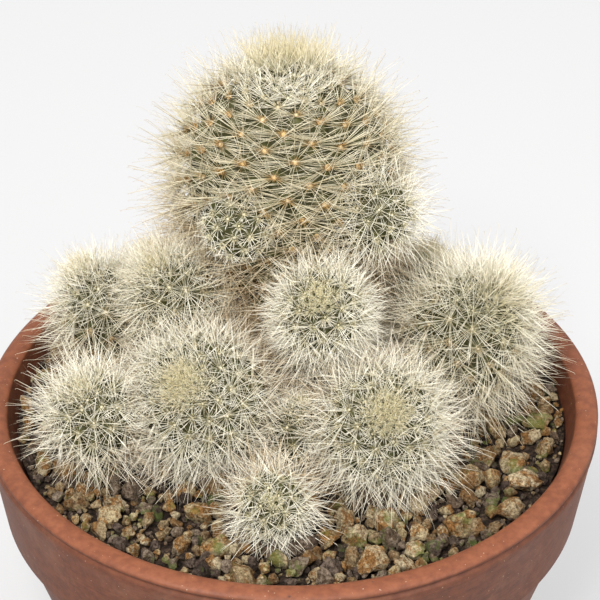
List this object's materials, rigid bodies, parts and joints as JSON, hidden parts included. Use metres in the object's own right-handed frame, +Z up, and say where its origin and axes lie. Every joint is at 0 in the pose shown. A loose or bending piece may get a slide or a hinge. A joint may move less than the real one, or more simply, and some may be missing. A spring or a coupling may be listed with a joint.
{
  "type": "potted mammillaria",
  "caption": "Clump of round cactus heads covered in fine pale spines, rooted in gritty soil in a round terracotta pan with a raised rim band; stands on its flat base.",
  "frame": {"origin": "centre of the pan's flat underside, on the surface that it stands on", "axes": "+Z up along the pan's axis; -Y towards the side with the small front head, +Y towards the tall main head, +X to the right seen from the -Y side"},
  "size_m": [0.15, 0.15, 0.1552],
  "materials": {
    "terracotta": "unglazed fired clay, matt, with pale specks and small pits",
    "grit": "rough porous gravel in ochre, tan and grey over dark soil",
    "cactus": "dark green waxy tubercles under stars of cream to straw-yellow spines"
  },
  "bodies": {
    "root": {"pot": "terracotta", "soil": "grit", "head_main": "cactus", "head_back_left": "cactus", "head_mid_left": "cactus", "head_front_left": "cactus", "head_big_left": "cactus", "head_centre": "cactus", "head_right": "cactus", "head_big_front": "cactus", "head_small_front": "cactus", "head_inner": "cactus", "head_back_right": "cactus", "head_behind_left": "cactus", "head_behind": "cactus"}
  },
  "joints": []
}
